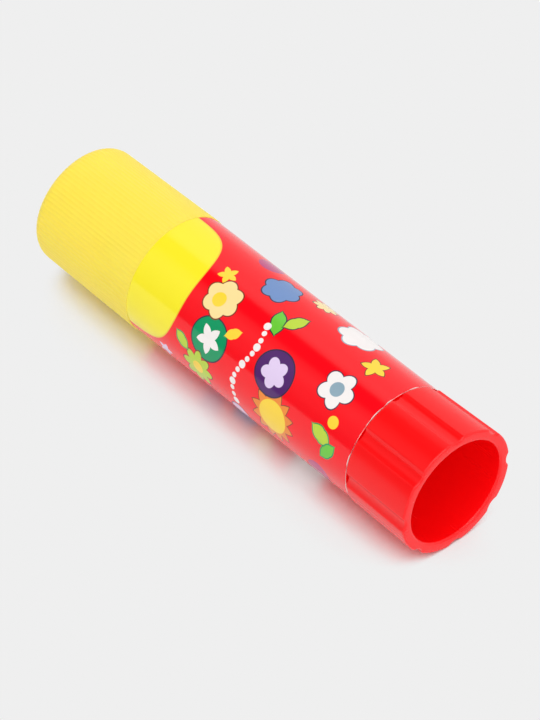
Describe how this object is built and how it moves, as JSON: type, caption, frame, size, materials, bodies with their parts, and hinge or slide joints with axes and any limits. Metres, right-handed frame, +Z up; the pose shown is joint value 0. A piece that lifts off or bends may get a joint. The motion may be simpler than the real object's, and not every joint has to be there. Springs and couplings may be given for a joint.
{
  "type": "glue stick",
  "caption": "Small twist-up glue stick lying on its side: ribbed snap cap, labelled barrel, fluted twist knob, and a screw that lifts the glue out of the barrel.",
  "frame": {"origin": "on the floor under the middle of the stick as it lies on its side, cap on", "axes": "+X along the stick from the cap to the knob, +Y across it, +Z up from the floor it lies on"},
  "size_m": [0.0866, 0.0216, 0.0216],
  "materials": {
    "cap_plastic": "injection-moulded yellow polypropylene, satin, finely ribbed",
    "natural_plastic": "injection-moulded white polypropylene, satin",
    "printed_film": null,
    "red_plastic": "injection-moulded red polypropylene, polished",
    "glue": "off-white solid glue, waxy"
  },
  "bodies": {
    "barrel": {"barrel": "red_plastic", "label": "printed_film"},
    "cap": {"cap": "cap_plastic"},
    "knob": {"knob": "red_plastic", "spindle": "natural_plastic"},
    "carrier": {"carrier": "natural_plastic", "glue": "glue"}
  },
  "joints": [
    {"name": "cap_pull", "type": "slide", "parent": "barrel", "child": "cap", "axis": [-1, 0, 0], "range_m": [0, 0.025]},
    {"name": "knob_turn", "type": "hinge", "parent": "barrel", "child": "knob", "pos_m": [0.0367, 0, 0.01082], "axis": [-1, 0, 0], "range_deg": [0, 900]},
    {"name": "glue_lift", "type": "slide", "parent": "barrel", "child": "carrier", "axis": [-1, 0, 0], "range_m": [0, 0.0125]}
  ],
  "couplings": [
    {"joint": "glue_lift", "follows": "knob_turn", "m_per_rad": 0.00079577}
  ]
}
